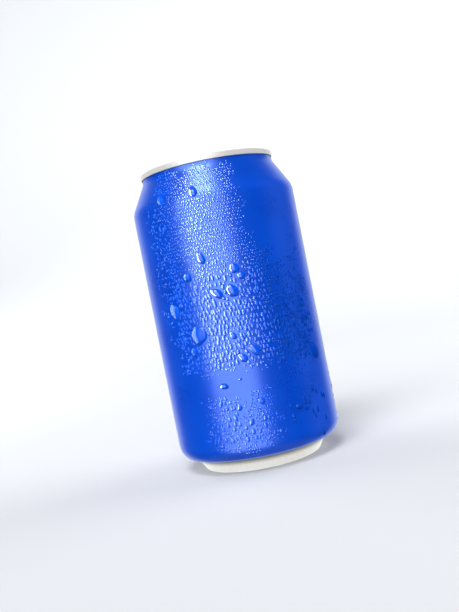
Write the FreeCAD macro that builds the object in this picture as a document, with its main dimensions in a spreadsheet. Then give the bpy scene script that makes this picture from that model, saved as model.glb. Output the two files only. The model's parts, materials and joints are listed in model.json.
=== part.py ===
import FreeCAD, Part
import math
import os
import Sketcher

# A 355 ml drink can, shut and full: the drawn body, the seamed lid and the stay-on pull tab.
# Millimetres, +Z up, origin on the floor at the centre of the stand ring.
# The tab's nose and the mouth of the lid lie towards -Y, the tab's tail towards +Y.

sizes = {
    "height": (122.2, "floor to the top of the seam"),
    "bodyRadius": (33.05, "straight wall"),
    "coneAngle": (28.84, "lean of the cone between the wall and the neck, in degrees"),
    "shoulderRound": (8.23, "round where the wall turns into the cone"),
    "neckRadius": (26.63, "outside of the neck, inside the seam's skirt"),
    "neckDrop": (3.51, "seam top down to the corner where the cone turns into the neck"),
    "neckRound": (7.05, "hollow round of that corner"),
    "heelHeight": (8.70, "corner where the wall turns in"),
    "heelRound": (7.13, "round of that corner"),
    "heelEdgeInset": (2.31, "body radius in to the lower corner of the heel"),
    "heelEdgeHeight": (6.13, "lower corner of the heel"),
    "heelEdgeRound": (2.0, "round of that corner"),
    "legInset": (6.05, "body radius in to the top of the leg"),
    "legHeight": (5.48, "top of the leg"),
    "legRound": (0.8, "hollow round at the top of the leg"),
    "noseInset": (9.30, "body radius in to the outer corner of the stand ring"),
    "noseWidth": (2.15, "outer to inner corner of the stand ring"),
    "noseRound": (1.1, "round of both corners of the stand ring"),
    "domeWallLean": (0.3, "how far the dome's wall leans in"),
    "domeWallHeight": (5.1, "floor to where the dome's wall meets the dome"),
    "domeRound": (2.0, "round between the wall and the dome"),
    "domeDepth": (10.4, "floor to the middle of the dome"),
    "sheet": (0.27, "thickness of the lid's sheet"),
    "seamHeight": (2.2, "seam top to the lower edge of its skirt"),
    "seamSkirt": (0.57, "skirt of the seam outside the neck"),
    "seamWidth": (1.2, "seam across its top"),
    "seamRound": (0.5, "rounds on the seam's top"),
    "seamLowerRound": (0.2, "round on the skirt's lower edge"),
    "hookDrop": (1.0, "seam top down to the edge of the neck inside the seam"),
    "chuckLean": (1.2, "how far the chuck wall leans in"),
    "countersinkDepth": (6.6, "seam top to the bottom of the countersink"),
    "countersinkWidth": (1.0, "countersink across its floor"),
    "countersinkRound": (0.42, "rounds in the countersink"),
    "panelDepth": (4.3, "seam top to the lid's panel"),
    "panelLean": (0.3, "how far the panel's wall leans in"),
    "panelRound": (0.4, "round at the panel's edge"),
    "trayMargin": (1.5, "panel's edge to the tray"),
    "trayDepth": (0.5, "panel to the tray's floor"),
    "trayMouthRadius": (17.2, "tray on the mouth's side"),
    "trayTailRadius": (11.2, "tray round the tab's tail"),
    "wellRadius": (6.2, "hollow for a finger under the tab's tail"),
    "wellDepth": (0.8, "tray's floor to the floor of that hollow"),
    "wellMargin": (0.9, "tray's tail end to that hollow"),
    "mouthRadius": (8.0, "round ends of the mouth's score line"),
    "mouthSpread": (3.2, "centre line to the centre of each round end"),
    "mouthMargin": (1.7, "tray's mouth end to the score line"),
    "scoreWidth": (0.3, "groove of the score line"),
    "scoreDepth": (0.12, "groove of the score line"),
    "beadInset": (4.5, "score line in to the raised bead of the mouth"),
    "beadWidth": (0.7, "that bead"),
    "beadHeight": (0.1, "that bead"),
    "rivetSeatRadius": (3.0, "raised seat that the tab lies on"),
    "rivetSeatHeight": (0.45, "tray's floor to that seat"),
    "rivetShankRadius": (1.7, "shank through the tab"),
    "rivetHeadRadius": (2.6, "head over the tab"),
    "rivetHeadHeight": (0.5, "head over the tab"),
    "rivetRound": (0.3, "round of the head"),
    "rivetClearance": (0.04, "shank to the tab's hole"),
    "tabNoseRadius": (7.95, "tab's nose, and half its width there"),
    "tabTailRadius": (7.3, "tab's tail"),
    "tabTailGap": (4.4, "tab's tail to the tray's tail end"),
    "tabThickness": (1.15, "over the curled rim"),
    "tabRimWidth": (1.5, "curled rim"),
    "tabTopStep": (0.35, "rim's top down to the web"),
    "tabUnderStep": (0.3, "rim's underside up to the web"),
    "tabEdgeRound": (0.5, "outer edges of the rim"),
    "fingerHoleRadius": (4.5, "round ends of the finger hole"),
    "fingerHoleSpread": (1.2, "centre line to the centre of each round end"),
    "fingerHoleMargin": (2.1, "tab's tail to the finger hole"),
    "islandRadius": (3.9, "inside of the slit round the rivet"),
    "slitWidth": (0.7, "that slit"),
    "slitTurn": (220, "how far that slit runs round, in degrees"),
}

roundShare = 0.48  # the most of the cone's length that one of its two rounds may take
levelWithin = 1e-4  # two places closer than this are the same, in mm
leastChange = 1e-3  # a pad or a cut that changes the volume by less did nothing, in mm3

# Heights and radii that several pieces share, written as expressions on the sheet.
seamBottom = "Sizes.height - Sizes.seamHeight"
hookTop = "Sizes.height - Sizes.hookDrop"
panelTop = "Sizes.height - Sizes.panelDepth"
trayFloor = panelTop + " - Sizes.trayDepth"
seatTop = trayFloor + " + Sizes.rivetSeatHeight"
countersinkFloor = "Sizes.height - Sizes.countersinkDepth"
seamOuter = "Sizes.neckRadius + Sizes.seamSkirt"
chuckTop = seamOuter + " - Sizes.seamWidth"
countersinkOuter = chuckTop + " - Sizes.chuckLean"
countersinkInner = countersinkOuter + " - Sizes.countersinkWidth"
panelEdge = countersinkInner + " - Sizes.panelLean"
trayReach = panelEdge + " - Sizes.trayMargin"
trayThrough = "Sizes.trayDepth + Sizes.sheet"
wellThrough = "Sizes.wellDepth + Sizes.sheet"
webThickness = "Sizes.tabThickness - Sizes.tabTopStep - Sizes.tabUnderStep"
coneStep = "(Sizes.bodyRadius - Sizes.neckRadius)"
shoulderCorner = f"Sizes.height - Sizes.neckDrop - {coneStep} / tan(Sizes.coneAngle)"
longestRound = f"{roundShare} * {coneStep} / (sin(Sizes.coneAngle) * tan(Sizes.coneAngle / 2))"
noseOuter = "Sizes.bodyRadius - Sizes.noseInset"
noseInner = noseOuter + " - Sizes.noseWidth"
domeEdge = noseInner + " - Sizes.domeWallLean"

doc = FreeCAD.newDocument("DrinkCan")
sheet = doc.addObject("Spreadsheet::Sheet", "Sizes")
for row, (name, (value, note)) in enumerate(sizes.items(), start=1):
    sheet.set(f"A{row}", name)
    sheet.set(f"B{row}", str(value))
    sheet.set(f"C{row}", note)
    sheet.setAlias(f"B{row}", name)
doc.recompute()


def measure(text):
    # The number that an expression on the sheet gives now.
    return float(sheet.evalExpression(text))


def newBody(label):
    body = doc.addObject("PartDesign::Body", label)
    body.Label = label
    return body


def newSketch(body, name, role, height=None):
    # A sketch on one of the body's own planes, raised to a height worked out from the sheet.
    plane = next(f for f in body.Origin.OriginFeatures if f.Role == role)
    sketch = body.newObject("Sketcher::SketchObject", name)
    sketch.AttachmentSupport = (plane, [""])
    sketch.MapMode = "FlatFace"
    if height:
        sketch.setExpression("AttachmentOffset.Base.z", height)
    return sketch


def tie(sketch, kind, text, *where):
    # A dimension that follows an expression on the sheet. One under zero is measured from its other end.
    value = measure(text)
    if value < 0:
        where = where[2:] + where[:2]
        value = -value
        text = f"-({text})"
    index = sketch.addConstraint(Sketcher.Constraint(kind, *where, value))
    sketch.setExpression(f"Constraints[{index}]", text)


def place(sketch, geometry, point, across, up):
    # Ties a point to the sketch's origin. "0" puts it on an axis.
    for kind, text, axis in (("DistanceX", across, -2), ("DistanceY", up, -1)):
        if text == "0":
            sketch.addConstraint(Sketcher.Constraint("PointOnObject", geometry, point, axis))
        else:
            tie(sketch, kind, text, -1, 1, geometry, point)


def closedProfile(sketch, corners, domed=False):
    # Straight lines from corner to corner and back to the first.
    # With domed, the first side is an arc centred on the upright axis, and the first corner is its top.
    spots = [FreeCAD.Vector(measure(across), measure(up), 0) for across, up in corners]
    count = len(spots)
    for n, spot in enumerate(spots):
        following = spots[(n + 1) % count]
        if domed and n == 0:
            drop = spot.y - following.y
            radius = (following.x ** 2 + drop ** 2) / (2 * drop)
            circle = Part.Circle(FreeCAD.Vector(0, spot.y - radius, 0), FreeCAD.Vector(0, 0, 1), radius)
            rim = math.pi / 2 - math.asin(following.x / radius)
            sketch.addGeometry(Part.ArcOfCircle(circle, rim, math.pi / 2))
            sketch.addConstraint(Sketcher.Constraint("PointOnObject", 0, 3, -2))
        else:
            sketch.addGeometry(Part.LineSegment(spot, following))
    for n in range(count):
        ends = (1, 2) if domed and n == 0 else (2, 1)
        following = (n + 1) % count
        startOfNext = 2 if domed and following == 0 else 1
        sketch.addConstraint(Sketcher.Constraint("Coincident", n, ends[0], following, startOfNext))
    for n, (across, up) in enumerate(corners):
        point = 2 if domed and n == 0 else 1
        place(sketch, n, point, across, up)


def loopRound(sketch, first, second):
    # The outline of a belt round two circles, each given as across, up and radius.
    (x1, y1, r1), (x2, y2, r2) = [[measure(text) for text in circle] for circle in (first, second)]
    apart = math.hypot(x2 - x1, y2 - y1)
    along = math.atan2(y2 - y1, x2 - x1)
    lean = math.acos((r1 - r2) / apart)
    base = sketch.GeometryCount

    def spot(x, y, r, angle):
        return FreeCAD.Vector(x + r * math.cos(angle), y + r * math.sin(angle), 0)

    upwards = FreeCAD.Vector(0, 0, 1)
    firstCircle = Part.Circle(FreeCAD.Vector(x1, y1, 0), upwards, r1)
    secondCircle = Part.Circle(FreeCAD.Vector(x2, y2, 0), upwards, r2)
    sketch.addGeometry(Part.ArcOfCircle(firstCircle, along + lean, along - lean + 2 * math.pi))
    sketch.addGeometry(Part.LineSegment(spot(x1, y1, r1, along - lean), spot(x2, y2, r2, along - lean)))
    sketch.addGeometry(Part.ArcOfCircle(secondCircle, along - lean, along + lean))
    sketch.addGeometry(Part.LineSegment(spot(x2, y2, r2, along + lean), spot(x1, y1, r1, along + lean)))
    for n in range(4):
        sketch.addConstraint(Sketcher.Constraint("Tangent", base + n, 2, base + (n + 1) % 4, 1))
    for geometry, (across, up, radius) in ((base, first), (base + 2, second)):
        place(sketch, geometry, 3, across, up)
        tie(sketch, "Radius", radius, geometry)


def loopCircle(sketch, across, up, radius):
    centre = FreeCAD.Vector(measure(across), measure(up), 0)
    geometry = sketch.addGeometry(Part.Circle(centre, FreeCAD.Vector(0, 0, 1), measure(radius)))
    place(sketch, geometry, 3, across, up)
    tie(sketch, "Radius", radius, geometry)


def turn(body, name, corners, domed=False):
    # Turns a closed profile of radius and height round the Z axis.
    sketch = newSketch(body, name + "Sketch", "XZ_Plane")
    closedProfile(sketch, corners, domed)
    feature = body.newObject("PartDesign::Revolution", name)
    feature.Profile = sketch
    feature.ReferenceAxis = (sketch, ["V_Axis"])
    feature.Angle = 360
    sketch.Visibility = False
    doc.recompute()
    return feature


def press(body, kind, name, height, depth, loops, downwards):
    # A pad or a pocket from outlines at one height. It must change the solid, or its direction is wrong.
    before = body.Shape.Volume if body.Tip else 0
    sketch = newSketch(body, name + "Sketch", "XY_Plane", height)
    for draw, values in loops:
        draw(sketch, *values)
    feature = body.newObject("PartDesign::" + kind, name)
    feature.Profile = sketch
    feature.setExpression("Length", depth)
    feature.Reversed = downwards if kind == "Pad" else not downwards
    sketch.Visibility = False
    doc.recompute()
    gained = feature.Shape.Volume - before
    if gained * (1 if kind == "Pad" else -1) < leastChange:
        raise RuntimeError(f"{name} changed the volume by {gained}")
    return feature


def roundRing(body, name, radius, *rings):
    # Rounds the circular edges that lie at these radii and heights.
    base = body.Tip
    names = []
    for across, up in rings:
        wantedRadius = measure(across)
        wantedHeight = measure(up)
        for n, edge in enumerate(base.Shape.Edges, start=1):
            if edge.Degenerated or not isinstance(edge.Curve, Part.Circle):
                continue
            away = abs(edge.Curve.Radius - wantedRadius) + abs(edge.Curve.Center.z - wantedHeight)
            if away < levelWithin:
                names.append(f"Edge{n}")
    if len(names) < len(rings):
        raise RuntimeError(f"{name} found {len(names)} of {len(rings)} edges")
    feature = body.newObject("PartDesign::Fillet", name)
    feature.Base = (base, names)
    feature.setExpression("Radius", radius)
    doc.recompute()
    return feature


def lidUnderside():
    # The corners that the lid's underside and the drink below it share, from the neck inwards.
    return [
        (chuckTop + " + Sizes.sheet", hookTop),
        (chuckTop + " + Sizes.sheet", seamBottom),
        (countersinkOuter + " + Sizes.sheet", countersinkFloor + " - Sizes.sheet"),
        (countersinkInner + " - Sizes.sheet", countersinkFloor + " - Sizes.sheet"),
        (panelEdge + " - Sizes.sheet", panelTop + " - Sizes.sheet"),
        ("0", panelTop + " - Sizes.sheet"),
    ]


def trayLoop(grown="0"):
    # The tray's outline: a belt round a large circle at the mouth and a smaller one at the tab's tail.
    mouthSide = ("0", f"Sizes.trayMouthRadius - ({trayReach})", f"Sizes.trayMouthRadius + {grown}")
    tailSide = ("0", f"{trayReach} - Sizes.trayTailRadius", f"Sizes.trayTailRadius + {grown}")
    return loopRound, (mouthSide, tailSide)


def wellLoop(grown="0"):
    up = f"{trayReach} - Sizes.wellMargin - Sizes.wellRadius"
    return loopCircle, ("0", up, f"Sizes.wellRadius + {grown}")


def mouthLoop(inset):
    # A belt round two equal circles side by side, drawn in from the score line's middle by inset.
    up = f"Sizes.mouthMargin + Sizes.mouthRadius - ({trayReach})"
    radius = f"Sizes.mouthRadius - ({inset})"
    return loopRound, (("-Sizes.mouthSpread", up, radius), ("Sizes.mouthSpread", up, radius))


def makeCanBody():
    # The drawn body with the drink in it, solid up to the lid: nothing of its inside can be seen.
    body = newBody("can_body")
    wallCorners = [
        ("0", "Sizes.domeDepth"),
        (domeEdge, "Sizes.domeWallHeight"),
        (noseInner, "0"),
        (noseOuter, "0"),
        ("Sizes.bodyRadius - Sizes.legInset", "Sizes.legHeight"),
        ("Sizes.bodyRadius - Sizes.heelEdgeInset", "Sizes.heelEdgeHeight"),
        ("Sizes.bodyRadius", "Sizes.heelHeight"),
        ("Sizes.bodyRadius", shoulderCorner),
        ("Sizes.neckRadius", "Sizes.height - Sizes.neckDrop"),
        ("Sizes.neckRadius", hookTop),
    ]
    turn(body, "Wall", wallCorners + lidUnderside(), domed=True)
    roundRing(body, "ShoulderRound", f"min(Sizes.shoulderRound; {longestRound})", wallCorners[7])
    roundRing(body, "NeckRound", f"min(Sizes.neckRound; {longestRound})", wallCorners[8])
    roundRing(body, "HeelRound", "Sizes.heelRound", wallCorners[6])
    roundRing(body, "HeelEdgeRound", "Sizes.heelEdgeRound", wallCorners[5])
    roundRing(body, "LegRound", "Sizes.legRound", wallCorners[4])
    roundRing(body, "NoseRound", "Sizes.noseRound", wallCorners[2], wallCorners[3])
    roundRing(body, "DomeRound", "Sizes.domeRound", wallCorners[1])
    press(body, "Pocket", "TraySpace", panelTop, trayThrough, [trayLoop("Sizes.sheet")], True)
    press(body, "Pocket", "WellSpace", trayFloor, wellThrough, [wellLoop("Sizes.sheet")], True)
    return body


def makeCanEnd():
    # The lid: seam, chuck wall, countersink and panel in one sheet, with the tray, the score and the rivet.
    body = newBody("can_end")
    underside = list(reversed(lidUnderside()))
    upperCorners = [
        ("Sizes.neckRadius", hookTop),
        ("Sizes.neckRadius", seamBottom),
        (seamOuter, seamBottom),
        (seamOuter, "Sizes.height"),
        (chuckTop, "Sizes.height"),
        (chuckTop, seamBottom),
        (countersinkOuter, countersinkFloor),
        (countersinkInner, countersinkFloor),
        (panelEdge, panelTop),
        ("0", panelTop),
    ]
    turn(body, "Sheet", underside + upperCorners)
    roundRing(body, "SeamRound", "Sizes.seamRound", upperCorners[3], upperCorners[4])
    roundRing(body, "SeamLowerRound", "Sizes.seamLowerRound", upperCorners[2])
    roundRing(body, "CountersinkRound", "Sizes.countersinkRound", upperCorners[6], upperCorners[7])
    roundRing(body, "PanelRound", "Sizes.panelRound", upperCorners[8])
    press(body, "Pad", "TrayUnder", panelTop, trayThrough, [trayLoop("Sizes.sheet")], True)
    press(body, "Pocket", "Tray", panelTop, "Sizes.trayDepth", [trayLoop()], True)
    press(body, "Pad", "WellUnder", trayFloor, wellThrough, [wellLoop("Sizes.sheet")], True)
    press(body, "Pocket", "Well", trayFloor, "Sizes.wellDepth", [wellLoop()], True)
    scoreSides = [mouthLoop("-Sizes.scoreWidth / 2"), mouthLoop("Sizes.scoreWidth / 2")]
    press(body, "Pocket", "Score", trayFloor, "Sizes.scoreDepth", scoreSides, True)
    beadSides = [mouthLoop("Sizes.beadInset"), mouthLoop("Sizes.beadInset + Sizes.beadWidth")]
    press(body, "Pad", "MouthBead", trayFloor, "Sizes.beadHeight", beadSides, False)
    headBottom = f"{seatTop} + {webThickness}"
    headTop = headBottom + " + Sizes.rivetHeadHeight"
    turn(body, "Rivet", [
        ("0", trayFloor),
        ("Sizes.rivetSeatRadius", trayFloor),
        ("Sizes.rivetSeatRadius", seatTop),
        ("Sizes.rivetShankRadius", seatTop),
        ("Sizes.rivetShankRadius", headBottom),
        ("Sizes.rivetHeadRadius", headBottom),
        ("Sizes.rivetHeadRadius", headTop),
        ("0", headTop),
    ])
    roundRing(body, "RivetRound", "Sizes.rivetRound", ("Sizes.rivetHeadRadius", headTop))
    return body


def makePullTab():
    # The tab, lying on the rivet's seat. Its own zero height is the underside of its rim.
    body = newBody("pull_tab")
    tailTip = f"{trayReach} - Sizes.tabTailGap"

    def rimLoop(inset="0"):
        nose = ("0", "0", f"Sizes.tabNoseRadius - {inset}")
        tail = ("0", f"{tailTip} - Sizes.tabTailRadius", f"Sizes.tabTailRadius - {inset}")
        return loopRound, (nose, tail)

    blank = press(body, "Pad", "Blank", "0", "Sizes.tabThickness", [rimLoop()], False)
    edges = []
    for n, edge in enumerate(blank.Shape.Edges, start=1):
        if edge.BoundBox.ZLength < levelWithin:
            edges.append(f"Edge{n}")
    rim = body.newObject("PartDesign::Fillet", "RimRound")
    rim.Base = (blank, edges)
    rim.setExpression("Radius", "min(Sizes.tabEdgeRound; Sizes.tabThickness * 0.45)")
    doc.recompute()
    webLoop = rimLoop("Sizes.tabRimWidth")
    press(body, "Pocket", "TopStep", "Sizes.tabThickness", "Sizes.tabTopStep", [webLoop], True)
    press(body, "Pocket", "UnderStep", "0", "Sizes.tabUnderStep", [webLoop], False)
    holeUp = f"{tailTip} - Sizes.fingerHoleMargin - Sizes.fingerHoleRadius"
    fingerLoop = loopRound, (
        ("-Sizes.fingerHoleSpread", holeUp, "Sizes.fingerHoleRadius"),
        ("Sizes.fingerHoleSpread", holeUp, "Sizes.fingerHoleRadius"),
    )
    press(body, "Pocket", "FingerHole", "Sizes.tabThickness", "Sizes.tabThickness", [fingerLoop], True)
    rivetLoop = loopCircle, ("0", "0", "Sizes.rivetShankRadius + Sizes.rivetClearance")
    press(body, "Pocket", "RivetHole", "Sizes.tabThickness", "Sizes.tabThickness", [rivetLoop], True)
    slitSketch = newSketch(body, "SlitSketch", "YZ_Plane")
    slitOuter = "Sizes.islandRadius + Sizes.slitWidth"
    closedProfile(slitSketch, [
        ("Sizes.islandRadius", "0"),
        (slitOuter, "0"),
        (slitOuter, "Sizes.tabThickness"),
        ("Sizes.islandRadius", "Sizes.tabThickness"),
    ])
    before = body.Shape.Volume
    slit = body.newObject("PartDesign::Groove", "Slit")
    slit.Profile = slitSketch
    slit.ReferenceAxis = (slitSketch, ["V_Axis"])
    slit.setExpression("Angle", "Sizes.slitTurn")
    slit.Midplane = True
    slitSketch.Visibility = False
    doc.recompute()
    if slit.Shape.Volume > before - leastChange:
        raise RuntimeError("the slit cut nothing")
    body.setExpression("Placement.Base.z", f"{seatTop} - Sizes.tabUnderStep")
    return body


pieces = [makeCanBody(), makeCanEnd(), makePullTab()]
doc.recompute()
for thing in doc.Objects:
    if "Invalid" in thing.State or "Error" in thing.State:
        raise RuntimeError(f"{thing.Label} failed: {thing.State}")
for piece in pieces:
    if piece.Shape.isNull() or not piece.Shape.isValid() or len(piece.Shape.Solids) != 1:
        raise RuntimeError(f"{piece.Label} isn't one valid solid")

os.makedirs("parts", exist_ok=True)
for piece in pieces:
    piece.Shape.exportStep(f"parts/{piece.Label}.step")
    box = piece.Shape.BoundBox
    print(f"{piece.Label}: {piece.Shape.Volume / 1000:.3f} ml, z {box.ZMin:.3f} to {box.ZMax:.3f}")
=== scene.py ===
import json
import math

import bpy
import numpy as np
from mathutils import Matrix, Vector

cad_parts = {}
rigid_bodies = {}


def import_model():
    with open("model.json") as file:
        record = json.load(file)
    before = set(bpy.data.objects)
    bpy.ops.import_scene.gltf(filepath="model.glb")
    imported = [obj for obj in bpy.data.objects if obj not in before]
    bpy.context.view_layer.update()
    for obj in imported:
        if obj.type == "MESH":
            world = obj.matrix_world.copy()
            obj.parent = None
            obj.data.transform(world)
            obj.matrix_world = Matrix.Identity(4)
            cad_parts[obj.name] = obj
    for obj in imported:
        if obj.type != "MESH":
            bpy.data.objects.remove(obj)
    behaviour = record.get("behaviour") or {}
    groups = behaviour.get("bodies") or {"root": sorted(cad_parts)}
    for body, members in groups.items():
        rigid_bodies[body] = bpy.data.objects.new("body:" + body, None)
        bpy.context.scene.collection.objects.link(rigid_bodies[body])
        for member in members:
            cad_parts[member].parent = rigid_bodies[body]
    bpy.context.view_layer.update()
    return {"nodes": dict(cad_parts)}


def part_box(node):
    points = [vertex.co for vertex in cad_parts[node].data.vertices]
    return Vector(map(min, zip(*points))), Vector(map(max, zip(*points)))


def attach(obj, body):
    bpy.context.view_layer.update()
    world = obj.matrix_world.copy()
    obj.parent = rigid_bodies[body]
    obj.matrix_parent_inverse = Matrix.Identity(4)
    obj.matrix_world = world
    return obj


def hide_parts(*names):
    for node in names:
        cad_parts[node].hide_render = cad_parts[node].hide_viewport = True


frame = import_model()
print("frame loaded:", sorted(frame["nodes"]))

mm = 0.001
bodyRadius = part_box("can_body")[1].x
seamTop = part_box("can_end")[1].z
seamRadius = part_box("can_end")[1].x
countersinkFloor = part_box("can_end")[0].z
tabFloor, tabTop = (corner.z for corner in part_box("pull_tab"))
random = np.random.default_rng(355)  # one seeded source for every scatter


# Shader sums

class Wire:
    # One output in a node tree. Python's own operators on it add Math nodes.
    # A wire with no socket only starts a tree.

    def __init__(self, tree, socket=None):
        self.tree = tree
        self.socket = socket

    def node(self, kind, settings=None, sockets=None, output=0):
        # Any other node: its settings first, then the values or wires of its sockets.
        made = self.tree.nodes.new(kind)
        for name, value in (settings or {}).items():
            setattr(made, name, value)
        for name, value in (sockets or {}).items():
            if isinstance(value, Wire):
                self.tree.links.new(value.socket, made.inputs[name])
            else:
                made.inputs[name].default_value = value
        return Wire(self.tree, made.outputs[output] if len(made.outputs) else None)

    def math(self, operation, *values):
        return self.node("ShaderNodeMath", {"operation": operation}, dict(enumerate(values)))

    def __add__(self, other):
        return self.math("ADD", self, other)

    def __sub__(self, other):
        return self.math("SUBTRACT", self, other)

    def __rsub__(self, other):
        return self.math("SUBTRACT", other, self)

    def __mul__(self, other):
        return self.math("MULTIPLY", self, other)

    __radd__ = __add__
    __rmul__ = __mul__

    def step(self, low, high):
        # 0 below low, 1 above high, smooth between
        settings = {"interpolation_type": "SMOOTHSTEP"}
        return self.node("ShaderNodeMapRange", settings, {"Value": self, "From Min": low, "From Max": high})

    def band(self, low, high, soft):
        # 1 between low and high, falling to 0 over soft on each side
        return self.step(low - soft, low) * (1 - self.step(high, high + soft))

    def mix(self, first, second):
        # a colour between two, by this wire as the factor; 6 and 7 are the node's colour sockets
        sockets = {"Factor": self, 6: first, 7: second}
        return self.node("ShaderNodeMix", {"data_type": "RGBA"}, sockets, output=2)

    def place(self, kind="Object"):
        # where a shaded point lies on its object, or by "Generated" which way the world is seen
        return self.node("ShaderNodeTexCoord", None, None, kind)

    def noise(self, place, scale, detail=2, roughness=0.5):
        sockets = {"Vector": place, "Scale": scale, "Detail": detail, "Roughness": roughness}
        return self.node("ShaderNodeTexNoise", None, sockets)

    def bump(self, size, height):
        strength, distance = size
        sockets = {"Strength": strength, "Distance": distance, "Height": height}
        return self.node("ShaderNodeBump", None, sockets)

    def stretched(self, place, x, y, z):
        # the same place with its axes multiplied, so that a pattern runs long along the smallest
        return self.node("ShaderNodeVectorMath", {"operation": "MULTIPLY"}, {0: place, 1: (x, y, z)})


def startMaterial(name):
    # An empty material and a wire that starts its tree.
    material = bpy.data.materials.new(name)
    material.use_nodes = True
    material.node_tree.nodes.clear()
    return material, Wire(material.node_tree)


def finishMaterial(start, sockets):
    # The Principled shader with these sockets, joined to the material's output.
    shader = start.node("ShaderNodeBsdfPrincipled", None, sockets)
    start.node("ShaderNodeOutputMaterial", None, {"Surface": shader})


lacquer = {
    "blue": (0.0, 0.051, 0.455, 1),
    "deepBlue": (0.0, 0.041, 0.395, 1),
    "neckShadeBlue": (0.0, 0.040, 0.36, 1),  # painted shade: the blue darkens up the neck, whose cone faces the light from above
    "neckFrom": (105 * mm, 114 * mm),
    "neckShadeShare": 0.75,
    "metallic": 0.3,
    "roughness": 0.28,
    "index": 1.72,
    "varnish": (0.8, 1.0, 0.93, 1),  # the cool tint of the varnish's own gloss
    "bareFrom": 5.5 * mm,  # the print ends here, above the foot
    "bareSoft": 0.35 * mm,
    "bareWithin": (22.5 * mm, 23.5 * mm),  # radius: the dome under the foot isn't printed
    "bare": (0.71, 0.70, 0.67, 1),
    "bareShade": (0.64, 0.63, 0.60, 1),
    # painted shade: the colour the bare foot darkens to under the heel
    "heelShadeColour": (0.05, 0.05, 0.05, 1),
    "heelShadeDepth": 2.8 * mm,  # painted shade: how far under the print the bare metal is darkened, standing in for the heel's shadow
    "heelShadeShare": 0.9,
    "bareMetallic": 0.2,
    "bareRoughness": 0.4,
    "drawn": (900, 3),  # lines left by drawing the wall: scale, detail
    "drawnStretch": 0.05,
    "drawnRange": (0.25, 0.8),
    "cloudy": (60, 3),
    "cloudyRange": (0.3, 0.75),
    "mist": (3500, 2),
    "roughSpread": (0.04, 0.05),  # by the mist, by the clouds
    "bareRoughSpread": 0.16,
    "bump": (0.2, 0.02 * mm),  # strength, distance
    "bumpShares": (0.4, 0.6),  # of the mist, of the drawn lines on bare metal
}


def makeLacquer():
    # Printed and varnished wall, with the bare foot under the print's edge, a painted shade on the foot
    # just under the heel and a painted shade up the neck.
    material, start = startMaterial("blue_lacquer")
    place = start.place()
    height = start.node("ShaderNodeSeparateXYZ", None, {0: place}, "Z")
    level = start.stretched(place, 1, 1, 0)
    radius = start.node("ShaderNodeVectorMath", {"operation": "LENGTH"}, {0: level}, "Value")
    printed = height.step(lacquer["bareFrom"] - lacquer["bareSoft"], lacquer["bareFrom"])
    printed = printed * radius.step(*lacquer["bareWithin"])
    drawn = start.noise(start.stretched(place, 1, 1, lacquer["drawnStretch"]), *lacquer["drawn"])
    cloudy = start.noise(place, *lacquer["cloudy"])
    mist = start.noise(place, *lacquer["mist"])
    blue = cloudy.step(*lacquer["cloudyRange"]).mix(lacquer["deepBlue"], lacquer["blue"])
    # painted shade: the wall's blue darkens up the neck
    blue = (lacquer["neckShadeShare"] * height.step(*lacquer["neckFrom"])).mix(blue, lacquer["neckShadeBlue"])
    bare = drawn.step(*lacquer["drawnRange"]).mix(lacquer["bareShade"], lacquer["bare"])
    # painted shade: the bare metal under the heel darkens towards the print's edge
    heelShadeMask = height.step(lacquer["bareFrom"] - lacquer["heelShadeDepth"], lacquer["bareFrom"])
    heelShadeMask = heelShadeMask * radius.step(*lacquer["bareWithin"])
    bare = (lacquer["heelShadeShare"] * heelShadeMask).mix(bare, lacquer["heelShadeColour"])
    byMist, byClouds = lacquer["roughSpread"]
    rough = lacquer["roughness"] + byMist * (mist - 0.5) + byClouds * (cloudy - 0.5)
    bareRough = lacquer["bareRoughness"] + lacquer["bareRoughSpread"] * (drawn - 0.5)
    mistShare, drawnShare = lacquer["bumpShares"]
    relief = mistShare * mist + drawnShare * drawn * (1 - printed)
    finishMaterial(start, {
        "Base Color": printed.mix(bare, blue),
        "Metallic": lacquer["bareMetallic"] + printed * (lacquer["metallic"] - lacquer["bareMetallic"]),
        "Roughness": bareRough + printed * (rough - bareRough),
        "IOR": lacquer["index"],
        "Specular Tint": lacquer["varnish"],
        "Normal": start.bump(lacquer["bump"], relief),
    })
    return material


aluminium = {
    "bright": (0.425, 0.42, 0.41, 1),
    "dull": (0.36, 0.355, 0.345, 1),
    "metallic": 0.3,
    "roughness": 0.42,
    "grain": (2600, 4, 0.6),  # scale, detail, roughness
    "grainStretch": 0.06,
    "rubbed": (420, 4, 0.65),
    "rubbedStretch": 0.3,
    "cloudy": (140, 3),
    "shadeShares": (0.6, 0.4),  # of the grain, of the clouds
    "shadeRange": (0.3, 0.7),
    "roughSpread": (0.2, 0.12),  # by the grain, by the rubbing
    "bump": (0.3, 0.02 * mm),
    "bumpShares": (0.7, 0.3),
}


def makeAluminium(name, along):
    # Rolled sheet: the grain runs along x or y as the blank lay in the press.
    material, start = startMaterial(name)
    place = start.place()
    long = aluminium["grainStretch"]
    stretch = (long, 1, 1) if along == "x" else (1, long, 1)
    grain = start.noise(start.stretched(place, *stretch), *aluminium["grain"])
    cloudy = start.noise(place, *aluminium["cloudy"])
    rubbedPlace = start.stretched(place, 1, aluminium["rubbedStretch"], 1)
    rubbed = start.noise(rubbedPlace, *aluminium["rubbed"])
    grainShare, cloudyShare = aluminium["shadeShares"]
    shade = (grainShare * grain + cloudyShare * cloudy).step(*aluminium["shadeRange"])
    byGrain, byRubbing = aluminium["roughSpread"]
    grainBump, rubbedBump = aluminium["bumpShares"]
    finishMaterial(start, {
        "Base Color": shade.mix(aluminium["dull"], aluminium["bright"]),
        "Metallic": aluminium["metallic"],
        "Roughness": aluminium["roughness"] + byGrain * (grain - 0.5) + byRubbing * (rubbed - 0.5),
        "Normal": start.bump(aluminium["bump"], grainBump * grain + rubbedBump * rubbed),
    })
    return material


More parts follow.
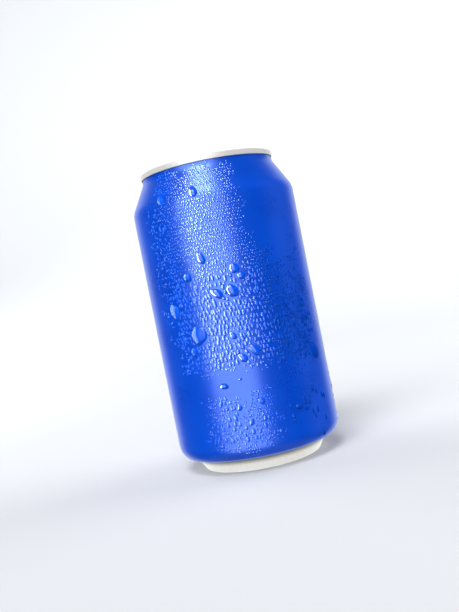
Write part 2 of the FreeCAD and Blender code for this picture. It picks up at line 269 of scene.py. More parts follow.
water = {
    "blue": (0.0, 0.057, 0.48, 1),
    "deepBlue": (0.0, 0.043, 0.39, 1),
    "shadeBlue": (0.0, 0.021, 0.17, 1),  # painted shade: the darker blue of the drops towards +x
    "roughness": 0.12,
    "roughSpread": 0.08,
    "index": 1.33,
    "coatRoughness": 0.16,
    "coatIndex": 1.5,
    "dullAcross": (-17.5 * mm, -7 * mm),  # towards this side a mist dulls the drops
    "shadeAcross": (7 * mm, 17 * mm),  # and towards this side a painted shade darkens the drops' colour and weakens their gloss
    "shadeShare": (0.9, 0.8),  # of the gloss, of the colour
    "dullUpTo": (28 * mm, 44 * mm),  # and under this height, by half
    "dullCoat": 0.08,
    "uneven": (500, 3),  # scale, detail
    "unevenRange": (0.25, 0.75),
    "ripple": (1500, 2),
    "bump": (0.12, 0.05 * mm),
}


def makeWater():
    # Water over the blue: it takes the lacquer's colour and has a clear, wet face.
    material, start = startMaterial("wet_blue")
    place = start.place()
    uneven = start.noise(place, *water["uneven"])
    ripple = start.noise(place, *water["ripple"])
    across = start.node("ShaderNodeSeparateXYZ", None, {0: place}, "X")
    height = start.node("ShaderNodeSeparateXYZ", None, {0: place}, "Z")
    shade = across.step(*water["shadeAcross"])
    glossShare, colourShare = water["shadeShare"]
    wet = across.step(*water["dullAcross"]) * (0.5 + 0.5 * height.step(*water["dullUpTo"]))
    wet = wet * (1 - glossShare * shade)
    blue = uneven.step(*water["unevenRange"]).mix(water["deepBlue"], water["blue"])
    finishMaterial(start, {
        # painted shade: the drops' blue darkens towards +x
        "Base Color": (colourShare * shade).mix(blue, water["shadeBlue"]),
        "Roughness": water["roughness"] + water["roughSpread"] * (uneven - 0.5),
        "IOR": water["index"],
        "Normal": start.bump(water["bump"], ripple),
        "Specular IOR Level": 0.0,
        "Coat Weight": water["dullCoat"] + (1 - water["dullCoat"]) * wet,
        "Coat Roughness": water["coatRoughness"],
        "Coat IOR": water["coatIndex"],
    })
    return material


lacquerFinish = makeLacquer()
lidFinish = makeAluminium("rolled_aluminium", "x")
tabFinish = makeAluminium("pressed_aluminium", "y")
waterFinish = makeWater()
print("materials made")


# Shapes as whole arrays

onePoint = 1e-9  # closer points than this are one
onAxis = 1e-7  # a smaller radius than this is on the axis


def smoothStep(low, high, x):
    # 0 below low, 1 above high, and 3t^2 - 2t^3 between
    t = np.clip((x - low) / (high - low), 0, 1)
    return t * t * (3 - 2 * t)


def roundedOutline(corners, perRound=10, longest=2 * mm):
    # Corners of (across, up, round). A round is the arc that touches both its sides, and
    # straight stretches are divided evenly, so that no step is longer than longest.
    points = np.array([corner[:2] for corner in corners], float)
    bits = [points[:1]]
    for n in range(1, len(corners) - 1):
        radius = corners[n][2]
        back = points[n - 1] - points[n]
        ahead = points[n + 1] - points[n]
        back = back / np.hypot(*back)
        ahead = ahead / np.hypot(*ahead)
        half = math.acos(np.clip(back @ ahead, -1, 1)) / 2
        if radius == 0:
            bits.append(points[n:n + 1])
            continue
        middle = points[n] + (back + ahead) / np.hypot(*(back + ahead)) * radius / math.sin(half)
        start = points[n] + back * radius / math.tan(half) - middle
        end = points[n] + ahead * radius / math.tan(half) - middle
        sweep = math.pi - 2 * half
        t = np.linspace(0, 1, perRound + 1)[:, None]
        bits.append(middle + (np.sin((1 - t) * sweep) * start + np.sin(t * sweep) * end) / math.sin(sweep))
    bits.append(points[-1:])
    line = np.vstack(bits)
    gaps = np.hypot(*np.diff(line, axis=0).T)
    line = line[np.concatenate([[True], gaps > onePoint])]
    gaps = gaps[gaps > onePoint]
    counts = np.maximum(1, np.ceil(gaps / longest)).astype(int)
    at = np.concatenate([n + np.arange(count) / count for n, count in enumerate(counts)] + [[len(counts)]])
    whole = np.arange(len(line))
    return np.column_stack([np.interp(at, whole, line[:, 0]), np.interp(at, whole, line[:, 1])])


def putMesh(name, points, faces, material, flat=None):
    # faces is a list of whole arrays, each of faces with as many corners. flat is the number
    # of the array whose faces aren't smoothed.
    mesh = bpy.data.meshes.new(name)
    corners = np.concatenate([block.ravel() for block in faces]).astype(np.int32)
    sizes = np.concatenate([np.full(len(block), block.shape[1]) for block in faces])
    smooth = np.concatenate([np.full(len(block), n != flat) for n, block in enumerate(faces)])
    mesh.vertices.add(len(points))
    mesh.vertices.foreach_set("co", points.astype(np.float32).ravel())
    mesh.loops.add(len(corners))
    mesh.loops.foreach_set("vertex_index", corners)
    mesh.polygons.add(len(sizes))
    mesh.polygons.foreach_set("loop_start", (np.cumsum(sizes) - sizes).astype(np.int32))
    mesh.polygons.foreach_set("use_smooth", smooth)
    mesh.update(calc_edges=True)
    mesh.materials.append(material)
    piece = bpy.data.objects.new(name, mesh)
    bpy.context.scene.collection.objects.link(piece)
    return piece


def turnedPiece(name, outline, columns, material, lift=None):
    # The outline's points (radius, height) carried round the upright axis as
    # (r cos a, r sin a, z). An end on the axis becomes one point.
    # lift(x, y, z) gives moved heights, as a press would.
    rings = outline[outline[:, 0] > onAxis]
    angle = np.arange(columns) / columns * 2 * math.pi
    x = rings[:, :1] * np.cos(angle)
    y = rings[:, :1] * np.sin(angle)
    z = np.repeat(rings[:, 1:], columns, axis=1)
    ends = outline[[0, -1], 1].copy()
    if lift:
        z = lift(x, y, z)
        ends = lift(np.zeros(2), np.zeros(2), ends)
    points = [np.stack([x, y, z], axis=2).reshape(-1, 3)]
    row, column = np.meshgrid(np.arange(len(rings) - 1), np.arange(columns), indexing="ij")
    a = (row * columns + column).ravel()
    b = (row * columns + (column + 1) % columns).ravel()
    faces = [np.column_stack([a, b, b + columns, a + columns])]
    here = np.arange(columns)
    beside = (here + 1) % columns
    count = len(rings) * columns
    if outline[0, 0] <= onAxis:
        points.append(np.array([[0, 0, ends[0]]]))
        faces.append(np.column_stack([beside, here, np.full(columns, count)]))
        count += 1
    if outline[-1, 0] <= onAxis:
        base = (len(rings) - 1) * columns
        points.append(np.array([[0, 0, ends[1]]]))
        faces.append(np.column_stack([base + here, base + beside, np.full(columns, count)]))
    return putMesh(name, np.vstack(points), faces, material)


# The drawn wall, with its heel, foot and domed base

wall = {
    "columns": 288,
    "coneAngle": 28.84,  # degrees from upright
    "shoulderRound": 8.23 * mm,
    "neckRadius": 26.63 * mm,
    "neckDrop": 3.51 * mm,
    "neckRound": 7.05 * mm,
    "heelHeight": 8.70 * mm,
    "heelRound": 7.13 * mm,
    "heelEdge": (2.31 * mm, 6.13 * mm, 2.0 * mm),  # inset from the wall, height, round
    "leg": (6.05 * mm, 5.48 * mm, 0.8 * mm),
    "noseInset": 9.30 * mm,
    "noseWidth": 2.15 * mm,
    "noseRound": 1.1 * mm,
    "domeWall": (0.3 * mm, 5.1 * mm, 2.0 * mm),
    "domeDepth": 10.4 * mm,
    "domeSteps": 14,
    "topDrop": 1.0 * mm,  # from the seam's top to the wall's, inside the seam
    "flange": (0.28 * mm, 2.2 * mm),  # inset and drop of its inner face, inside the seam
    "hiddenInset": 1.48 * mm,
    "hiddenTop": 0.3 * mm,  # under the lid's countersink
}


def outerCorners():
    # From the middle of the dome, down round the foot and up the wall to the neck.
    cone = math.radians(wall["coneAngle"])
    nose = bodyRadius - wall["noseInset"]
    noseInner = nose - wall["noseWidth"]
    domeEdge = noseInner - wall["domeWall"][0]
    shoulder = seamTop - wall["neckDrop"] - (bodyRadius - wall["neckRadius"]) / math.tan(cone)
    heelInset, heelEdgeHeight, heelEdgeRound = wall["heelEdge"]
    legInset, legHeight, legRound = wall["leg"]
    drop = wall["domeDepth"] - wall["domeWall"][1]
    sphere = (domeEdge ** 2 + drop ** 2) / (2 * drop)
    across = np.linspace(0, domeEdge, wall["domeSteps"])
    up = wall["domeDepth"] - sphere + np.sqrt(sphere ** 2 - across ** 2)
    dome = [(x, z, 0) for x, z in zip(across[:-2], up[:-2])]
    return dome + [
        (domeEdge, wall["domeWall"][1], wall["domeWall"][2]),
        (noseInner, 0, wall["noseRound"]),
        (nose, 0, wall["noseRound"]),
        (bodyRadius - legInset, legHeight, legRound),
        (bodyRadius - heelInset, heelEdgeHeight, heelEdgeRound),
        (bodyRadius, wall["heelHeight"], wall["heelRound"]),
        (bodyRadius, shoulder, wall["shoulderRound"]),
        (wall["neckRadius"], seamTop - wall["neckDrop"], wall["neckRound"]),
        (wall["neckRadius"], seamTop - wall["topDrop"], 0),
    ]


def makeWall():
    # The outline from the dome to the neck, closed inside the seam and under the lid.
    hidden = countersinkFloor - wall["hiddenTop"]
    flangeInset, flangeDrop = wall["flange"]
    corners = outerCorners() + [
        (wall["neckRadius"] - flangeInset, seamTop - wall["topDrop"], 0),
        (wall["neckRadius"] - flangeInset, seamTop - flangeDrop, 0),
        (wall["neckRadius"] - wall["hiddenInset"], hidden, 0),
        (0, hidden, 0),
    ]
    piece = turnedPiece("printed_wall", roundedOutline(corners), wall["columns"], lacquerFinish)
    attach(piece, "root")
    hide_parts("can_body")


makeWall()
print("wall made")


# The lid: seam, chuck wall, countersink and pressed panel in one sheet, and the rivet

lid = {
    "columns": 400,
    "rivetColumns": 64,
    "sheet": 0.27 * mm,
    "seamHeight": 2.2 * mm,
    "seamWidth": 1.2 * mm,
    "seamRound": 0.5 * mm,
    "seamLowerRound": 0.2 * mm,
    "hookDrop": 1.0 * mm,
    "chuckLean": 1.2 * mm,
    "countersinkWidth": 1.0 * mm,
    "countersinkRound": 0.42 * mm,
    "panelDepth": 4.3 * mm,
    "panelLean": 0.3 * mm,
    "panelRound": 0.4 * mm,
    "chuckRound": 0.3 * mm,
    "underRounds": (0.2 * mm, 0.5 * mm),  # at the panel's edge, at the countersink
    "rimReach": (1.2 * mm, 1.0 * mm),  # from the panel's edge to the even steps, under and over
    "rimSteps": (20, 112),
    "trayMargin": 1.5 * mm,
    "trayDepth": 0.5 * mm,
    "trayEdge": (-0.55 * mm, 0.35 * mm),  # where the slope starts and ends
    "trayRadii": (17.2 * mm, 11.2 * mm),  # round the mouth, round the tab's tail
    "well": (6.2 * mm, 0.8 * mm, 0.9 * mm),  # radius, depth, margin to the tray's end
    "wellEdge": (-2.2 * mm, 0.5 * mm),
    "mouth": (8.0 * mm, 3.2 * mm, 1.7 * mm),  # radius, half spread, margin to the tray's end
    "score": (0.22 * mm, 0.13 * mm),  # half width, depth
    "bead": (4.85 * mm, 0.5 * mm, 0.16 * mm),  # inset from the score, half width, height
    "rib": (1.5 * mm, 0.45 * mm, 0.12 * mm),  # outside the score: offset, half width, height
    "ribFade": 1 * mm,
    "seat": (3.0 * mm, 0.45 * mm),  # radius, height
    "seatEdge": (-0.5 * mm, 0.4 * mm),
    "rivet": (1.7 * mm, 2.6 * mm, 0.5 * mm, 0.3 * mm),  # shank, head, head height, round
    "rivetSunk": 0.2 * mm,
    "rivetDish": (0.5, 0.6, 0.3 * mm),  # shares of the head's radius and height, round
    "tabUnderStep": 0.3 * mm,
    "tabTopStep": 0.35 * mm,
}
chuckTop = seamRadius - lid["seamWidth"]
countersinkOuter = chuckTop - lid["chuckLean"]
countersinkInner = countersinkOuter - lid["countersinkWidth"]
panelEdge = countersinkInner - lid["panelLean"]


def beltDistance(x, y, firstRadius, secondRadius, firstY, secondY):
    # How far outside a belt round two circles on the y axis a point lies: the distance to
    # the nearer circle, or to the straight side where a point lies level with it.
    apart = secondY - firstY
    lean = (firstRadius - secondRadius) / apart
    side = math.sqrt(1 - lean * lean)
    across = np.abs(x)
    along = y - firstY
    level = along * side - across * lean
    straight = across * side + along * lean - firstRadius
    nearFirst = np.hypot(across, along) - firstRadius
    nearSecond = np.hypot(across, along - apart) - secondRadius
    return np.where(level < 0, nearFirst, np.where(level > apart * side, nearSecond, straight))


def lidRelief(x, y, z):
    # The panel's height, plus a depth times a smooth step of the distance to the outline for
    # the tray, the well and the rivet's seat, and plus a height times
    # exp(-(distance / half width)^2) for the score, the bead and the rib.
    radius = np.hypot(x, y)
    reach = panelEdge - lid["trayMargin"]
    first, second = lid["trayRadii"]
    tray = beltDistance(x, y, first, second, first - reach, reach - second)
    wellRadius, wellDepth, wellMargin = lid["well"]
    well = np.hypot(x, y - (reach - wellMargin - wellRadius)) - wellRadius
    mouthRadius, spread, margin = lid["mouth"]
    mouth = np.hypot(np.maximum(np.abs(x) - spread, 0), y + reach - margin - mouthRadius) - mouthRadius
    scoreWidth, scoreDepth = lid["score"]
    beadInset, beadWidth, beadHeight = lid["bead"]
    ribOffset, ribWidth, ribHeight = lid["rib"]
    seatRadius, seatHeight = lid["seat"]
    seatStart, seatEnd = lid["seatEdge"]
    relief = -lid["trayDepth"] * (1 - smoothStep(*lid["trayEdge"], tray))
    relief -= wellDepth * (1 - smoothStep(*lid["wellEdge"], well))
    relief -= scoreDepth * np.exp(-(mouth / scoreWidth) ** 2)
    relief += beadHeight * np.exp(-((mouth + beadInset) / beadWidth) ** 2)
    ribFade = smoothStep(0, lid["ribFade"], -tray)
    relief += ribHeight * np.exp(-((mouth - ribOffset) / ribWidth) ** 2) * ribFade
    relief += seatHeight * (1 - smoothStep(seatRadius + seatStart, seatRadius + seatEnd, radius))
    return z + relief * (radius < panelEdge - lid["panelRound"])


def lidOutline():
    # The sheet's section: out under the panel, round the countersink and the seam, and back
    # over them to the middle, with even steps across the panel.
    seamBottom = seamTop - lid["seamHeight"]
    hookTop = seamTop - lid["hookDrop"]
    panelTop = seamTop - lid["panelDepth"]
    sheet = lid["sheet"]
    top = countersinkFloor + sheet
    edgeUnderRound, countersinkUnderRound = lid["underRounds"]
    underReach, overReach = lid["rimReach"]
    underSteps, overSteps = lid["rimSteps"]
    rim = roundedOutline([
        (panelEdge - underReach, panelTop - sheet, 0),
        (panelEdge - sheet, panelTop - sheet, edgeUnderRound),
        (countersinkInner - sheet, countersinkFloor, countersinkUnderRound),
        (countersinkOuter + sheet, countersinkFloor, countersinkUnderRound),
        (chuckTop + sheet, seamBottom, 0),
        (chuckTop + sheet, hookTop, 0),
        (wall["neckRadius"], hookTop, 0),
        (wall["neckRadius"], seamBottom, 0),
        (seamRadius, seamBottom, lid["seamLowerRound"]),
        (seamRadius, seamTop, lid["seamRound"]),
        (chuckTop, seamTop, lid["seamRound"]),
        (chuckTop, seamBottom, lid["chuckRound"]),
        (countersinkOuter, top, lid["countersinkRound"]),
        (countersinkInner, top, lid["countersinkRound"]),
        (panelEdge, panelTop, lid["panelRound"]),
        (panelEdge - overReach, panelTop, 0),
    ], perRound=7, longest=1.2 * mm)
    under = np.linspace(0, rim[0, 0], underSteps)[:-1]
    over = np.linspace(rim[-1, 0], 0, overSteps)[1:]
    return np.vstack([
        np.column_stack([under, np.full(len(under), panelTop - sheet)]),
        rim,
        np.column_stack([over, np.full(len(over), panelTop)]),
    ])


lidPiece = turnedPiece("lid_sheet", lidOutline(), lid["columns"], lidFinish, lidRelief)
seatTop = tabFloor + lid["tabUnderStep"]
headBottom = tabTop - lid["tabTopStep"]
shank, head, headHeight, headRound = lid["rivet"]
dishRadius, dishHeight, dishRound = lid["rivetDish"]
rivetPiece = turnedPiece("rivet", roundedOutline([
    (0, seatTop - lid["rivetSunk"], 0),
    (shank, seatTop - lid["rivetSunk"], 0),
    (shank, headBottom, 0),
    (head, headBottom, 0),
    (head, headBottom + headHeight, headRound),
    (dishRadius * head, headBottom + headHeight, dishRound),
    (0, headBottom + dishHeight * headHeight, 0),
], longest=0.3 * mm), lid["rivetColumns"], lidFinish)
for piece in (lidPiece, rivetPiece):
    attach(piece, "root")
    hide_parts("can_end")
frame["nodes"]["pull_tab"].material_slots[0].material = tabFinish
print("lid made")


# The condensation: domes of water on the wall, from mist to drops about to run

drops = {
    "contact": 62,  # degrees, how steeply a drop meets the wall
    "sunk": 0.04 * mm,
    "close": 0.85,  # how much of a small drop's oval keeps clear of the bigger ones
    "edge": 0.3 * mm,  # kept free over the heel
    "lean": (-0.12, 0.1),  # of the small drops: middle and spread
    "sizes": (1.6, 2.0),  # how their widths spread, as a beta distribution
    "leastSize": 0.3,  # share of a width that is left at a field's edge
    "lengthSpread": 0.25,
    # how a field's edge wanders, as waves: how tall, turn, and shift from field to field.
    # Sideways it is degrees over mm, and upwards mm over degrees.
    "sideways": ((2.5, 0.42, 1), (1.8, 1.1, 2)),
    "upwards": ((1.3, 0.17, 1), (0.9, 0.41, 3)),
    "sideSoft": (-5, 4),  # degrees, how softly a field ends to the sides
    "bottomSoft": (-1.5, 2.5),  # mm, the same downwards
    "topOver": 1.5,  # mm, how far a field thins out over its top
    "waves": ((2, 1), (3, 0.7), (5, 0.4)),  # round an uneven outline: how many, how tall
    # pitch of the grid, half width from narrow to wide, half length over half width, how far
    # off its place in pitches, how softly a field ends upwards in mm, unevenness of the
    # outline, and how much fuller the lower end is
    "kinds": {
        "big_drops": {"uneven": 0.07, "sag": 0.22, "corners": 40, "rings": 9},
        "middling_drops": {
            "pitch": 1.42 * mm, "narrow": 0.46 * mm, "wide": 0.78 * mm, "stretch": 1.8,
            "stray": 0.28, "topSoft": 9, "uneven": 0.05, "sag": 0.12, "corners": 10, "rings": 3,
        },
        "fine_drops": {
            "pitch": 1.0 * mm, "narrow": 0.33 * mm, "wide": 0.46 * mm, "stretch": 1.5,
            "stray": 0.25, "topSoft": 3, "uneven": 0.03, "sag": 0, "corners": 8, "rings": 2,
        },
    },
}

# fields of drops: angles from the front in degrees, heights in mm, share of places filled
dropFields = {
    "fine_drops": [
        (-44, 18, 82, 119, 1.0),
        (-44, 30, 40, 84, 1.0),
        (20, 57, 36, 80, 0.5),
        (-54, -40, 50, 104, 0.45),
        (-34, 15, 9, 31, 0.85),
        (98, 168, 48, 118, 0.9),
        (-160, -104, 70, 119, 0.9),
        (-172, -110, 10, 34, 0.8),
        (84, 150, 10, 30, 0.6),
        (168, 200, 20, 100, 0.5),
    ],
    "middling_drops": [
        (-42, 22, 42, 82, 1.0),
        (22, 57, 40, 66, 0.8),
        (-50, -38, 84, 112, 0.25),
        (-33, 15, 12, 30, 0.35),
        (22, 62, 8, 31, 0.10),
        (96, 175, 30, 74, 0.7),
        (-175, -102, 36, 84, 0.75),
    ],
}

# the biggest drops by angle and height, half width and half length in mm, lean, steepness
bigDrops = [
    (-37, 108.7, 2.0, 2.4, -0.1, 0.8),
    (-12, 108.7, 1.8, 2.3, -0.1, 1),
    (-15, 83.7, 1.7, 2.3, -0.25, 1),
    (-27, 77.7, 1.9, 1.7, -0.1, 0.95),
    (5, 77.7, 1.8, 2.1, -0.1, 1),
    (8.5, 74.6, 1.6, 1.5, -0.1, 1),
    (-9, 69.6, 1.9, 2.3, -0.5, 1),
    (1, 69.6, 2.2, 2.6, -0.1, 1),
    (-43, 65.7, 2.6, 3.0, -0.1, 0.6),
    (-27, 55.5, 3.3, 3.6, -0.1, 0.62),
    (-33, 49.5, 1.3, 2.0, -0.1, 1),
    (-4, 53.2, 1.2, 1.6, -0.2, 1),
    (8, 46.4, 1.7, 2.4, -0.3, 1),
    (-0.5, 44.4, 1.7, 1.8, -0.2, 1),
    (56.5, 40.6, 2.9, 3.3, -0.1, 0.6),
    (-16.5, 35.1, 1.9, 1.1, 0.0, 1),
    (-5, 36.8, 0.7, 0.6, 0.0, 1),
    (-9, 26.3, 1.0, 1.3, 0.2, 1),
    (-21, 28.7, 0.8, 1.2, 0.3, 1),
    (6, 27.3, 1.2, 1.5, -0.3, 1),
    (-3, 20.3, 1.1, 1.4, 0.2, 1),
    (31, 22.0, 1.6, 1.3, 0.2, 1),
    (45, 27.0, 1.1, 1.2, 0.0, 1),
    (118, 92.0, 1.9, 2.4, 0.2, 1),
    (131, 61.0, 2.8, 3.3, 0.1, 1),
    (150, 84.0, 1.6, 2.2, -0.2, 1),
    (104, 47.0, 2.2, 2.9, 0.2, 1),
    (163, 41.0, 1.5, 1.9, 0.1, 1),
    (-118, 78.0, 2.2, 2.6, 0.2, 1),
    (-140, 52.0, 2.9, 3.4, -0.1, 1),
    (-101, 58.0, 1.8, 2.5, 0.3, 1),
    (-158, 96.0, 1.6, 2.1, 0.1, 1),
    (-132, 24.0, 1.4, 1.9, 0.2, 1),
]


def wallPath():
    # The wall's outline from the heel to under the seam, with the distance along it and the
    # outward direction, which is the path's own direction turned a right angle.
    corners = outerCorners()[-5:]
    line = roundedOutline(corners, perRound=30, longest=0.5 * mm)
    along = np.concatenate([[0], np.cumsum(np.hypot(*np.diff(line, axis=0).T))])
    direction = np.gradient(line, along, axis=0)
    direction /= np.hypot(*direction.T)[:, None]
    return along, line, np.column_stack([direction[:, 1], -direction[:, 0]])


def onWall(across, along, out):
    # (angle, distance along the path, height off the wall) to x, y, z:
    # (r + out nr) sin a, -(r + out nr) cos a, z + out nz
    places, line, outward = path
    radius = np.interp(along, places, line[:, 0]) + out * np.interp(along, places, outward[:, 0])
    height = np.interp(along, places, line[:, 1]) + out * np.interp(along, places, outward[:, 1])
    return np.stack([radius * np.sin(across), -radius * np.cos(across), height], axis=-1)


def inFields(angle, height, fields, soft):
    # The largest share that any field gives here, and how fully this is inside one. Waves of
    # sines make a field's edge wander, and it ends over a few degrees or soft millimetres.
    share = np.zeros(len(angle))
    inside = np.zeros(len(angle))
    bottomStart, bottomEnd = drops["bottomSoft"]
    for n, (low, high, bottom, top, filled) in enumerate(fields):
        middle = (low + high) / 2
        sideways = sum(tall * np.sin(height * turn + shift * n) for tall, turn, shift in drops["sideways"])
        upwards = sum(tall * np.sin(angle * turn + shift * n) for tall, turn, shift in drops["upwards"])
        away = np.abs((angle - middle + 180) % 360 - 180) - (high - low) / 2 + sideways
        level = height + upwards
        within = 1 - smoothStep(*drops["sideSoft"], away)
        within = within * smoothStep(bottom + bottomStart, bottom + bottomEnd, level)
        within = within * (1 - smoothStep(top - soft, top + drops["topOver"], level))
        share = np.maximum(share, filled * within)
        inside = np.maximum(inside, within)
    return share, inside


def clearOf(angle, along, width, length, others):
    # True where a drop's oval stays out of every bigger drop's oval: (x / (w + W))^2 plus
    # (y / (l + L))^2 is over 1. It is worked out in blocks of drops, to save memory.
    block = 1500
    kept = np.ones(len(angle), bool)
    bigAngle, bigAlong, bigWidth, bigLength = others[:4]
    for start in range(0, len(angle), block):
        part = slice(start, start + block)
        turn = (angle[part, None] - bigAngle + math.pi) % (2 * math.pi) - math.pi
        x = turn * bodyRadius / (width[part, None] + bigWidth)
        y = (along[part, None] - bigAlong) / (length[part, None] + bigLength)
        kept[part] = (x * x + y * y > 1).all(axis=1)
    return kept


def scatter(kind, others):
    # Drops on a six-cornered grid, where every other row is half a column further round.
    # Each is moved a little, then they are thinned by the fields and by the bigger drops.
    values = drops["kinds"][kind]
    pitch = values["pitch"]
    stretch = values["stretch"]
    stray = values["stray"]
    columns = int(2 * math.pi * bodyRadius / pitch)
    step = 2 * math.pi / columns
    rows = int(path[0][-1] / (pitch * 0.5 * (1 + stretch)))
    row, column = np.meshgrid(np.arange(rows), np.arange(columns), indexing="ij")
    angle = ((column + 0.5 * (row % 2)) * step).ravel()
    along = ((row + 0.5) * path[0][-1] / rows).ravel()
    count = len(angle)
    angle = angle + random.uniform(-stray, stray, count) * step
    along = along + random.uniform(-stray, stray, count) * path[0][-1] / rows
    height = np.interp(along, path[0], path[1][:, 1]) / mm
    share, inside = inFields(np.degrees(angle), height, dropFields[kind], values["topSoft"])
    least = drops["leastSize"]
    size = random.beta(*drops["sizes"], count) * (least + (1 - least) * inside)
    width = values["narrow"] + (values["wide"] - values["narrow"]) * size
    spread = drops["lengthSpread"]
    length = width * random.uniform(stretch - spread, stretch + spread, count)
    kept = random.random(count) < share
    kept &= (along > length + drops["edge"]) & (along < path[0][-1] - length)
    kept &= clearOf(angle, along, width * drops["close"], length * drops["close"], others)
    lean = random.normal(*drops["lean"], count)
    return np.stack([angle, along, width, length, lean, np.ones(count)])[:, kept]


def domes(name, layout):
    # One dome for each column of layout. On the wall a point is (w t c u, l t s u), with t
    # from 0 in the middle to 1 at the edge, c and s the corner's cosine and sine and u the
    # outline's unevenness, leaned by its own height. Off the wall it is the cap of a ball
    # that meets the wall at the contact angle, w (sqrt(1 - (t sin k)^2) - cos k) / sin k,
    # times the drop's steepness and 1 - sag t s, which makes the lower end fuller.
    angle, along, width, length, lean, steep = (value[:, None] for value in layout)
    count = layout.shape[1]
    values = drops["kinds"][name]
    corners = values["corners"]
    rings = values["rings"]
    contact = math.radians(drops["contact"])
    share = np.sin(np.linspace(0, math.pi / 2, rings + 1)[1:])
    turn = np.arange(corners) / corners * 2 * math.pi
    t = np.concatenate([[0], np.repeat(share, corners)])
    corner = np.concatenate([[0], np.tile(turn, rings)])
    phases = random.uniform(0, 2 * math.pi, (len(drops["waves"]), count, 1))
    wave = sum(tall * np.sin(n * corner + phase) for (n, tall), phase in zip(drops["waves"], phases))
    outline = 1 + values["uneven"] * wave * t
    x = width * t * np.cos(corner) * outline
    y = length * t * np.sin(corner) * outline
    x = x + lean * y
    cap = (np.sqrt(1 - (t * math.sin(contact)) ** 2) - math.cos(contact)) / math.sin(contact)
    fuller = 1 - values["sag"] * t * np.sin(corner)
    out = steep * width * cap * fuller - drops["sunk"]
    radius = np.interp(along, path[0], path[1][:, 0])
    points = onWall(angle + x / radius, along + y, out)
    size = len(t)
    start = (np.arange(count) * size)[:, None, None]
    here = np.arange(corners)
    beside = (here + 1) % corners
    tip = np.column_stack([np.zeros(corners, int), 1 + here, 1 + beside])
    inner = (1 + np.arange(rings - 1) * corners)[:, None]
    outer = inner + corners
    band = np.stack([inner + here, outer + here, outer + beside, inner + beside], axis=2)
    base = (size - 1 - here)[None]
    faces = [
        (start + tip).reshape(-1, 3),
        (start + band.reshape(-1, 4)).reshape(-1, 4),
        (start + base).reshape(-1, corners),
    ]
    piece = putMesh(name, points.reshape(-1, 3), faces, waterFinish, flat=2)
    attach(piece, "root")
    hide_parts("can_body")
    return piece


path = wallPath()
big = np.array(bigDrops).T * np.array([math.pi / 180, mm, mm, mm, 1, 1])[:, None]
big[1] = np.interp(big[1], path[1][:, 1], path[0])
middling = scatter("middling_drops", big)
fine = scatter("fine_drops", np.hstack([big, middling]))
dropPieces = [
    domes("big_drops", big),
    domes("middling_drops", middling),
    domes("fine_drops", fine),
]
for piece in dropPieces:
    print(piece.name, sum(len(face.vertices) - 2 for face in piece.data.polygons), "triangles")


# Stage, light and camera

studio = {
    "coveRadius": 1.3,
    "coveHeight": 3.0,
    "coveRound": 0.8,
    "coveDrop": 0.05 * mm,  # its floor lies this far under the can
    "coveColumns": 96,
    "white": (0.4, 0.41, 0.43, 1),
    "ambient": 0.015,
    # soft boxes: angles from the front (right is positive) and their soft edge, heights above
    # the horizon and theirs, all in degrees, and the strength
    "boxes": [
        (-44, 7, 13, -30, 62, 12, 3.15),
        (-44, 7, 13, 2, 62, 11, 1.5),
        (-30, -2, 12, 50, 64, 8, 15.0),
        (-180, 180, 1, 74, 90, 9, 0.2),
        (-180, 180, 1, -90, -50, 20, 0.35),
        (150, 180, 28, -75, 44, 14, 1.1),
        (-180, -150, 28, -75, 44, 14, 1.1),
    ],
    # panels by angle from the front, height in degrees, distance, width, height, strength
    "panels": {
        "big_drop_panel": (-96, 8, 0.7, 0.7, 1.3, 56.0),
        "middling_drop_panel": (-78, 8, 0.7, 0.75, 1.3, 33.0),
        "fine_drop_panel": (-76, 8, 0.7, 0.8, 1.3, 52.0),
        "right_fill": (102, 5, 0.8, 0.8, 1.2, 5.8),
        "left_fill": (-125, 5, 0.8, 0.7, 1.2, 5.4),
    },
    # these give nothing but glints, and only on one piece of drops
    "glints": {
        "big_drop_panel": "big_drops",
        "middling_drop_panel": "middling_drops",
        "fine_drop_panel": "fine_drops",
    },
    "glintColour": (0.82, 1.0, 0.97),
}


def makeWorld():
    # Soft light by direction: an even ground light plus soft-edged boxes.
    world = bpy.data.worlds.new("studio_light")
    world.use_nodes = True
    world.node_tree.nodes.clear()
    start = Wire(world.node_tree)
    direction = start.place("Generated")
    x, y, z = (start.node("ShaderNodeSeparateXYZ", None, {0: direction}, axis) for axis in "XYZ")
    across = start.math("DEGREES", start.math("ARCTAN2", x, y * -1))
    up = start.math("DEGREES", start.math("ARCSINE", z))
    light = studio["ambient"]
    for low, high, soft, bottom, top, softUp, strength in studio["boxes"]:
        light = light + strength * (across.band(low, high, soft) * up.band(bottom, top, softUp))
    glow = start.node("ShaderNodeBackground", None, {"Color": (1, 1, 1, 1), "Strength": light})
    start.node("ShaderNodeOutputWorld", None, {"Surface": glow})
    bpy.context.scene.world = world


def makeCove():
    # A floor that runs up into a round wall and a ceiling. Only the camera sees it, and not
    # from behind.
    material, start = startMaterial("pale_cove")
    paint = start.node("ShaderNodeBsdfDiffuse", None, {"Color": studio["white"]})
    through = start.node("ShaderNodeBsdfTransparent")
    behind = start.node("ShaderNodeNewGeometry", None, None, "Backfacing")
    shader = start.node("ShaderNodeMixShader", None, {0: behind, 1: paint, 2: through})
    start.node("ShaderNodeOutputMaterial", None, {"Surface": shader})
    radius = studio["coveRadius"]
    outline = roundedOutline([
        (0, studio["coveHeight"], 0),
        (radius, studio["coveHeight"], studio["coveRound"]),
        (radius, -studio["coveDrop"], studio["coveRound"]),
        (0, -studio["coveDrop"], 0),
    ], perRound=24, longest=0.2)
    cove = turnedPiece("cove", outline, studio["coveColumns"], material)
    cove.visible_shadow = False
    cove.visible_glossy = False
    cove.visible_diffuse = False
    cove.visible_transmission = False


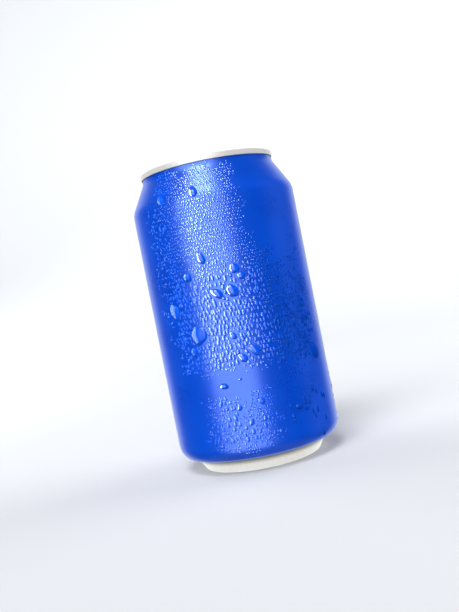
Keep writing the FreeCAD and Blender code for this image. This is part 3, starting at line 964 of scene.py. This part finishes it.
def makePanel(name):
    # A flat light beside the can, turned towards its middle. A fill light gives no glint.
    angle, height, distance, width, tall, strength = studio["panels"][name]
    lamp = bpy.data.lights.new(name, "AREA")
    lamp.shape = "RECTANGLE"
    lamp.size = width
    lamp.size_y = tall
    lamp.energy = strength * math.pi * width * tall
    holder = bpy.data.objects.new(name, lamp)
    turn = math.radians(angle)
    rise = math.radians(height)
    back = Vector((math.sin(turn) * math.cos(rise), -math.cos(turn) * math.cos(rise), math.sin(rise)))
    holder.location = back * distance + Vector((0, 0, seamTop / 2))
    holder.rotation_euler = back.to_track_quat("Z", "Y").to_euler()
    holder.visible_camera = False
    if name in studio["glints"]:
        holder.visible_diffuse = False
        lamp.color = studio["glintColour"]
        lit = bpy.data.collections.new("lit_by_" + name)
        lit.objects.link(bpy.data.objects[studio["glints"][name]])
        holder.light_linking.receiver_collection = lit
    else:
        holder.visible_glossy = False
    bpy.context.scene.collection.objects.link(holder)


camera = {
    "distance": 328 * mm,
    "height": 70.7 * mm,
    "pitch": -1.26,  # degrees, as yaw and roll
    "yaw": -0.30,
    "roll": -11.29,
    "lens": 46.81,
    "sensor": 36,
}


def makeCamera():
    # Looks along +Y, a little down, rolled so that the can leans to the left.
    pitch, yaw, roll = (math.radians(camera[name]) for name in ("pitch", "yaw", "roll"))
    ahead = Vector((math.sin(yaw) * math.cos(pitch), math.cos(yaw) * math.cos(pitch), math.sin(pitch)))
    level = Vector((math.cos(yaw), -math.sin(yaw), 0))
    upright = level.cross(ahead)
    right = math.cos(roll) * level + math.sin(roll) * upright
    up = math.cos(roll) * upright - math.sin(roll) * level
    data = bpy.data.cameras.new("camera")
    data.lens = camera["lens"]
    data.sensor_width = camera["sensor"]
    holder = bpy.data.objects.new("camera", data)
    turned = Matrix((right, up, -ahead)).transposed().to_4x4()
    holder.matrix_world = Matrix.Translation((0, -camera["distance"], camera["height"])) @ turned
    bpy.context.scene.collection.objects.link(holder)
    bpy.context.scene.camera = holder


makeWorld()
makeCove()
for name in studio["panels"]:
    makePanel(name)
makeCamera()
bpy.context.scene.view_settings.view_transform = "Standard"
print("stage, light and camera made")
